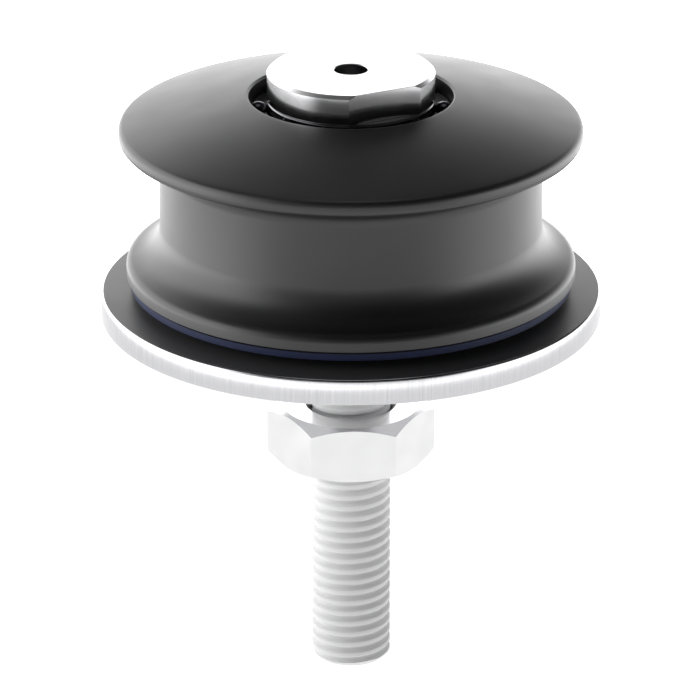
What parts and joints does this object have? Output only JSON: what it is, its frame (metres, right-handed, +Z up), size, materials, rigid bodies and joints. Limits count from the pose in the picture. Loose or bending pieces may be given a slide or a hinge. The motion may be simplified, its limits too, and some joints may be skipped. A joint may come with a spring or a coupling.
{
  "type": "deck-mounted winch feeder block",
  "caption": "Deck-mounted sheave with a grooved black wheel on a polished base plate, turning on a threaded spindle with a clamping nut, to lead a rope to a winch.",
  "frame": {"origin": "centre of the base plate's underside, on the spindle's axis, where it lies on the deck", "axes": "+Z up along the spindle from the deck towards the head; -Y towards the picture's viewer"},
  "size_m": [0.075, 0.075, 0.095],
  "materials": {
    "polished_steel": "mirror-polished stainless steel",
    "spindle_steel": "polished stainless steel",
    "nut_steel": "bright stainless steel",
    "ground_steel": "ground steel",
    "black_anodised": "satin black hard-anodised aluminium",
    "blue_plastic": "blue plastic",
    "bearing_liner": "dark composite bearing liner",
    "cage_plastic": "black cage plastic",
    "ball_dark": "dark polished bearing ball"
  },
  "bodies": {
    "deck_side": {"base_plate": "polished_steel", "spindle": "spindle_steel", "inner_sleeve": "ground_steel", "inner_race": "ground_steel", "lower_thrust_washer": "ground_steel"},
    "sheave": {"sheave": "black_anodised", "wear_ring": "blue_plastic", "sleeve_bearing": "bearing_liner", "upper_thrust_washer": "ground_steel"},
    "ball_cage": {"ball_cage": "cage_plastic", "ball_01": "ball_dark", "ball_02": "ball_dark", "ball_03": "ball_dark", "ball_04": "ball_dark", "ball_05": "ball_dark", "ball_06": "ball_dark", "ball_07": "ball_dark", "ball_08": "ball_dark", "ball_09": "ball_dark", "ball_10": "ball_dark"},
    "roller_cage": {"roller_cage": "cage_plastic", "roller_01": "ground_steel", "roller_02": "ground_steel", "roller_03": "ground_steel", "roller_04": "ground_steel", "roller_05": "ground_steel", "roller_06": "ground_steel", "roller_07": "ground_steel", "roller_08": "ground_steel", "roller_09": "ground_steel", "roller_10": "ground_steel", "roller_11": "ground_steel", "roller_12": "ground_steel"},
    "nut": {"hex_nut": "nut_steel"}
  },
  "joints": [
    {"name": "sheave_spin", "type": "hinge", "parent": "deck_side", "child": "sheave", "pos_m": [0, 0, 0], "axis": [0, 0, 1], "continuous": true},
    {"name": "ball_cage_spin", "type": "hinge", "parent": "deck_side", "child": "ball_cage", "pos_m": [0, 0, 0], "axis": [0, 0, 1], "continuous": true},
    {"name": "roller_cage_spin", "type": "hinge", "parent": "deck_side", "child": "roller_cage", "pos_m": [0, 0, 0], "axis": [0, 0, 1], "continuous": true},
    {"name": "nut_travel", "type": "slide", "parent": "deck_side", "child": "nut", "axis": [0, 0, 1], "range_m": [-0.032, 0.0147]}
  ],
  "couplings": [
    {"joint": "ball_cage_spin", "follows": "sheave_spin", "ratio": 0.56341},
    {"joint": "roller_cage_spin", "follows": "sheave_spin", "ratio": 0.5}
  ]
}
